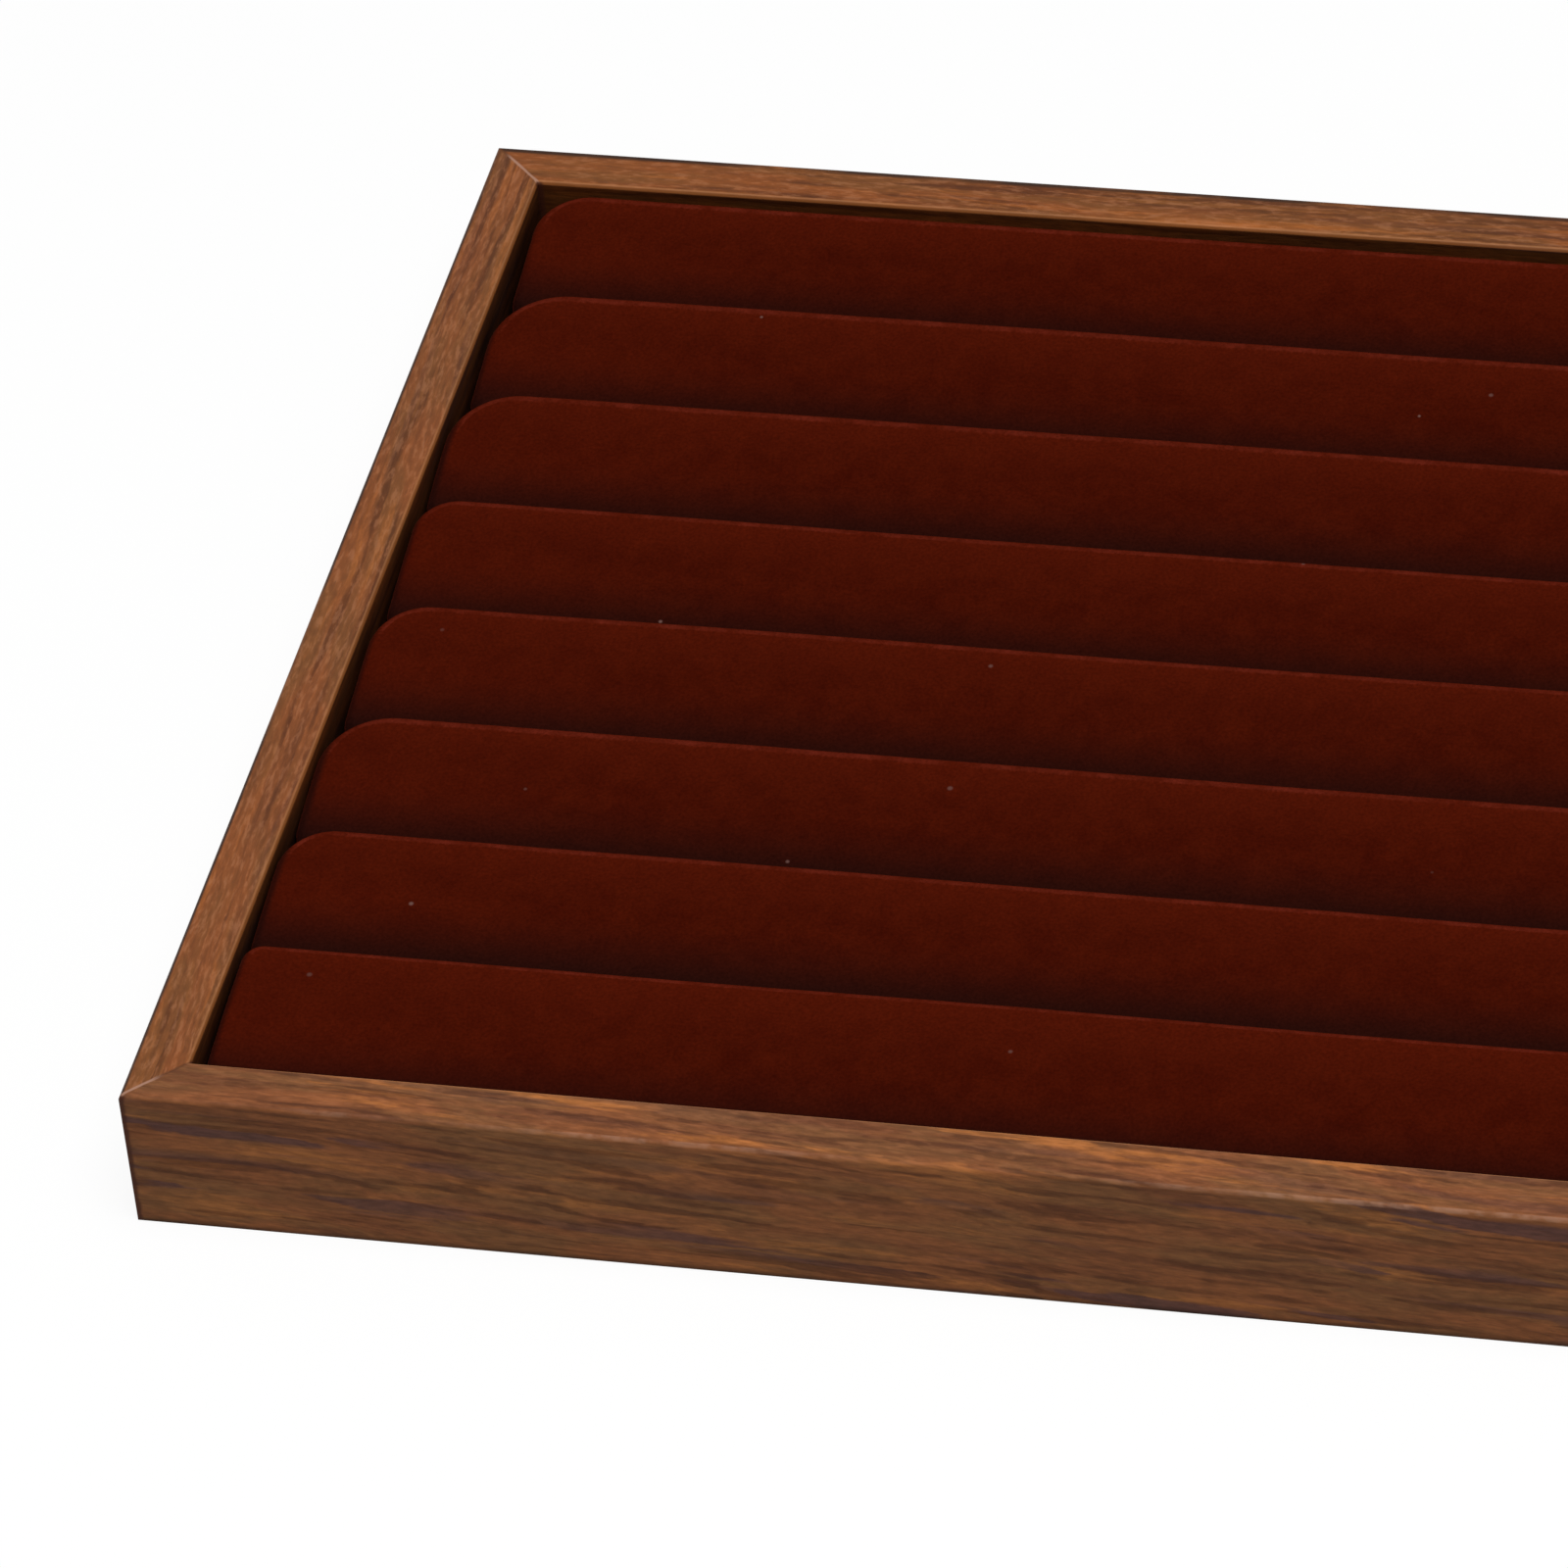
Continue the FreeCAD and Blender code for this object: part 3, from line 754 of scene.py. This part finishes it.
def addRing(skin, previous, points, shares, lights):
    first = len(skin["verts"])
    skin["verts"].extend(points)
    skin["napShare"].extend(shares)
    skin["rimLight"].extend(lights)
    ring = list(range(first, first + len(points)))
    for k, index in enumerate(ring):
        after = (k + 1) % len(ring)
        skin["faces"].append((previous[k], index, ring[after], previous[after]))
    return ring


def wallShares(form, rim, points):
    # runs on past the face's share: below 0 down the back wall, above 1 down the front
    shares = []
    for (index, place, outward), point in zip(rim, points):
        down = faceHeight(form, place.y) - point.z
        shares.append(shareAt(form, place.y) * form["reach"] - outward.y * down / pads["napRun"])
    return shares


def addSides(form, rim, skin):
    # rounded edge, upright walls, tucked foot and flat bottom
    dark = [0.0] * len(rim)
    ring = [index for index, place, outward in rim]
    for index, place, outward in rim:
        skin["rimLight"][index] = rimSheen(outward)
    for step in range(1, padGrid["round"] + 1):
        turn = step / padGrid["round"]
        points = [roundedPoint(form, place, outward, turn) for index, place, outward in rim]
        lights = [rimSheen(outward) * (1 - turn) ** pads["rimFade"] for index, place, outward in rim]
        ring = addRing(skin, ring, points, wallShares(form, rim, points), lights)
    wallTop = [skin["verts"][index].copy() for index in ring]
    bottom, tuck = form["low"].z, pads["footTuck"]
    for step in range(1, padGrid["wall"] + 1):
        part = step / padGrid["wall"]
        points = [Vector((top.x, top.y, top.z + (bottom + tuck - top.z) * part)) for top in wallTop]
        ring = addRing(skin, ring, points, wallShares(form, rim, points), dark)
    points = []
    for (index, place, outward), top in zip(rim, wallTop):
        points.append(Vector((top.x - outward.x * tuck, top.y - outward.y * tuck, bottom)))
    ring = addRing(skin, ring, points, [pads["footShare"]] * len(points), dark)
    skin["faces"].append(tuple(reversed(ring)))


def settle(form, verts):
    # the crest leans over the row behind, the ends swell and the foam is not quite even
    leanFrom = pads["leanFrom"]
    for vert in verts:
        rise = max(0.0, (vert.z - leanFrom) / (form["top"] - leanFrom))
        spot = Vector((vert.x * foam["along"], form["number"] * foam["rowStep"], vert.y * foam["across"]))
        uneven = noise.noise(spot) * foam["wave"] + noise.noise(spot * foam["fineness"]) * foam["ripple"]
        vert.x *= 1 + form["bulge"] * min(1.0, pads["bulgeRise"] * rise)
        vert.y += (form["lean"] + form["askew"] * vert.x + uneven) * rise ** pads["leanBend"]
        vert.z += (noise.noise(spot + foam["heightShift"]) - foam["sag"]) * foam["wave"] * rise


def makePadMesh(number):
    form = padForm(number)
    sides = padOutline(form)
    skin = {"verts": [], "faces": [], "napShare": [], "rimLight": []}
    addFace(form, sides, skin)
    addSides(form, faceRim(sides), skin)
    settle(form, skin["verts"])
    mesh = bpy.data.meshes.new(f"ring_pad_{number}")
    mesh.from_pydata(skin["verts"], [], skin["faces"])
    for polygon in mesh.polygons:
        polygon.use_smooth = True
    for name in ("napShare", "rimLight"):
        mesh.attributes.new(name, "FLOAT", "POINT").data.foreach_set("value", skin[name])
    mesh.update()
    return mesh


velvet = {
    "base": (0.0430, 0.0038, 0.0011, 1),
    "patch": (0.057, 0.0054, 0.0014, 1),
    # painted highlight along the crest, brightest on its rounded rim
    "crestHighlight": (0.079, 0.0074, 0.0020, 1),
    "rim": (0.117, 0.0140, 0.0065, 1),
    # painted shade in the slits and at the ends
    "slitShade": (0.015, 0.0036, 0.0025, 1),
    "lint": (0.14, 0.072, 0.06, 1),
    "shader": {
        "Roughness": 0.95,
        "Specular IOR Level": 0.0,
        "Sheen Weight": 0.12,
        "Sheen Roughness": 0.4,
        "Sheen Tint": (0.6, 0.09, 0.045, 1),
    },
    "flock": {"Patch": 5 * mm, "Lint": 0.05},
    "bump": (0.12 * mm, 0.6),
    "pileLight": (0.55, 1.45),
    "patchRange": (0.3, 0.7),
    "crestReach": (0.58, -0.25),  # shares of nap over which the painted highlight fades from the crest
    "frontSlitShade": (0.5, 1.0),  # shares of nap over which the painted shade darkens it into the slits
    "backSlitShade": (-0.1, -0.9),
    "paleEnds": (60 * mm, 5 * mm),  # from the end, where the nap starts to pale and is palest
    "paleEndsShare": 0.3,
    "endShade": (1.6 * mm, 0.2 * mm),  # from the end, where the painted shade starts and is darkest
    "endShadeShare": 0.8,
    "rimPile": (-0.3, 0.3),  # how the pile breaks up the painted highlight on the rim
    "rimRange": (0.3, 0.85),
    "rimPatches": (0.25, 0.75),
    "lintFacing": (0.6, 0.8),  # lint lies on upward faces only
}


def makeVelvet():
    material, tree, shader = newMaterial("velvet_cover", velvet["shader"])
    coords = addNode(tree, "ShaderNodeTexCoord").outputs
    flock = placeGroup(tree, flockGroup, {"Vector": coords["Object"], **velvet["flock"]})
    share = addNode(tree, "ShaderNodeAttribute", attribute_name="napShare").outputs["Fac"]
    rimLight = addNode(tree, "ShaderNodeAttribute", attribute_name="rimLight").outputs["Fac"]
    across = axesOf(tree, coords["Object"])["X"]
    fromEnd = calc(tree, "SUBTRACT", padHalfLength, calc(tree, "ABSOLUTE", across))

    # painted highlight paler towards the crest, paler ends, and a painted sheen along the rim
    patches = smoothStep(tree, flock["Patches"], *velvet["patchRange"])
    colour = mixColour(tree, patches, velvet["base"], velvet["patch"])
    paleEnds = product(tree, smoothStep(tree, fromEnd, *velvet["paleEnds"]), velvet["paleEndsShare"])
    crestHighlight = calc(tree, "MAXIMUM", smoothStep(tree, share, *velvet["crestReach"]), paleEnds)
    colour = mixColour(tree, crestHighlight, colour, velvet["crestHighlight"])
    rim = calc(tree, "ADD", rimLight, spread(tree, flock["Pile"], *velvet["rimPile"]))
    rim = smoothStep(tree, rim, *velvet["rimRange"])
    rim = product(tree, rim, smoothStep(tree, flock["Patches"], *velvet["rimPatches"]))
    colour = mixColour(tree, rim, colour, velvet["rim"])

    # painted shade towards the slits and at the ends, then pile and lint
    slitShades = (smoothStep(tree, share, *velvet[key]) for key in ("frontSlitShade", "backSlitShade"))
    colour = mixColour(tree, calc(tree, "MAXIMUM", *slitShades), colour, velvet["slitShade"])
    end = product(tree, smoothStep(tree, fromEnd, *velvet["endShade"]), velvet["endShadeShare"])
    colour = mixColour(tree, end, colour, velvet["slitShade"])
    colour = shaded(tree, colour, spread(tree, flock["Pile"], *velvet["pileLight"]))
    upward = axesOf(tree, coords["Normal"])["Z"]
    lint = product(tree, flock["Lint"], smoothStep(tree, upward, *velvet["lintFacing"]))
    colour = mixColour(tree, lint, colour, velvet["lint"])
    link(tree, colour, shader, "Base Color")
    addBump(tree, shader, flock["Pile"], *velvet["bump"])
    return material


velvetMaterial = makeVelvet()
padCount = len(rows["lean"])
for number in range(1, padCount + 1):
    pad = bpy.data.objects.new(f"velvet_ring_pad_{number}", makePadMesh(number))
    bpy.context.scene.collection.objects.link(pad)
    pad.data.materials.append(velvetMaterial)
    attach(pad, "ring_insert")
    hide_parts(f"ring_pad_{number}_cover", f"ring_pad_{number}_foam")
print("velvet pads:", padCount)


# floor, light and camera
stageLook = {
    "floorSize": 8.0,
    "floorBounce": (0.5, 0.5, 0.5, 1),
    "whiteShare": 0.88,
    "worldLevel": 0.22,
}
keyLamp = {"place": (0.15, -0.45, 1.8), "aim": (0, 0, 0), "size": 1.5, "watts": 32}
cameraView = {
    "azimuth": 16.616,
    "elevation": 39.455,
    "roll": -6.245,
    "sensor": 36,
    "lens": 250.48,
    "place": (0.2795, -1.2782, 1.0915),
}


def whiteToCamera(tree):
    # 1 for rays that show the background directly or in a reflection
    rays = addNode(tree, "ShaderNodeLightPath").outputs
    seen = calc(tree, "MAXIMUM", rays["Is Camera Ray"], rays["Is Glossy Ray"])
    return calc(tree, "MAXIMUM", seen, rays["Is Transmission Ray"])


def makeFloor():
    half = stageLook["floorSize"] / 2
    mesh = bpy.data.meshes.new("floor")
    corners = [(-half, -half, 0), (half, -half, 0), (half, half, 0), (-half, half, 0)]
    mesh.from_pydata(corners, [], [(0, 1, 2, 3)])
    floor = bpy.data.objects.new("floor", mesh)
    bpy.context.scene.collection.objects.link(floor)
    material = bpy.data.materials.new("pale_floor")
    material.use_nodes = True
    tree = material.node_tree
    tree.nodes.clear()
    seen = whiteToCamera(tree)
    paintColour = mixColour(tree, seen, stageLook["floorBounce"], white)
    paint = addNode(tree, "ShaderNodeBsdfDiffuse", {"Color": paintColour}).outputs[0]
    glow = addNode(tree, "ShaderNodeEmission", {"Color": white, "Strength": 1.0}).outputs[0]
    share = calc(tree, "MULTIPLY", seen, stageLook["whiteShare"])
    blend = addNode(tree, "ShaderNodeMixShader", {0: share, 1: paint, 2: glow}).outputs[0]
    addNode(tree, "ShaderNodeOutputMaterial", {"Surface": blend})
    mesh.materials.append(material)


def makeWorld():
    world = bpy.data.worlds.new("studio")
    bpy.context.scene.world = world
    world.use_nodes = True
    tree = world.node_tree
    background = tree.nodes["Background"]
    level = spread(tree, whiteToCamera(tree), stageLook["worldLevel"], 1.0)
    fillInputs(tree, background, {"Color": white, "Strength": level})


def makeLamp(name, lamp):
    data = bpy.data.lights.new(name, "AREA")
    data.shape = "DISK"
    data.size = lamp["size"]
    data.energy = lamp["watts"]
    light = bpy.data.objects.new(name, data)
    light.location = lamp["place"]
    toward = Vector(lamp["aim"]) - light.location
    light.rotation_euler = toward.to_track_quat("-Z", "Y").to_euler()
    bpy.context.scene.collection.objects.link(light)


def makeCamera():
    azimuth, elevation, roll = (math.radians(cameraView[key]) for key in ("azimuth", "elevation", "roll"))
    level = math.cos(elevation)
    back = Vector((math.sin(azimuth) * level, -math.cos(azimuth) * level, math.sin(elevation)))
    right = Vector((math.cos(azimuth), math.sin(azimuth), 0))
    up = back.cross(right)
    rolledRight = math.cos(roll) * right + math.sin(roll) * up
    rolledUp = back.cross(rolledRight)
    data = bpy.data.cameras.new("photo_camera")
    data.sensor_width = cameraView["sensor"]
    data.lens = cameraView["lens"]
    camera = bpy.data.objects.new("photo_camera", data)
    turn = Matrix((rolledRight, rolledUp, back)).transposed().to_4x4()
    camera.matrix_world = Matrix.Translation(cameraView["place"]) @ turn
    bpy.context.scene.collection.objects.link(camera)
    bpy.context.scene.camera = camera


makeFloor()
makeWorld()
makeLamp("key_softbox", keyLamp)
makeCamera()
bpy.context.scene.view_settings.view_transform = "Standard"
print("stage ready")

bpy.context.view_layer.update()
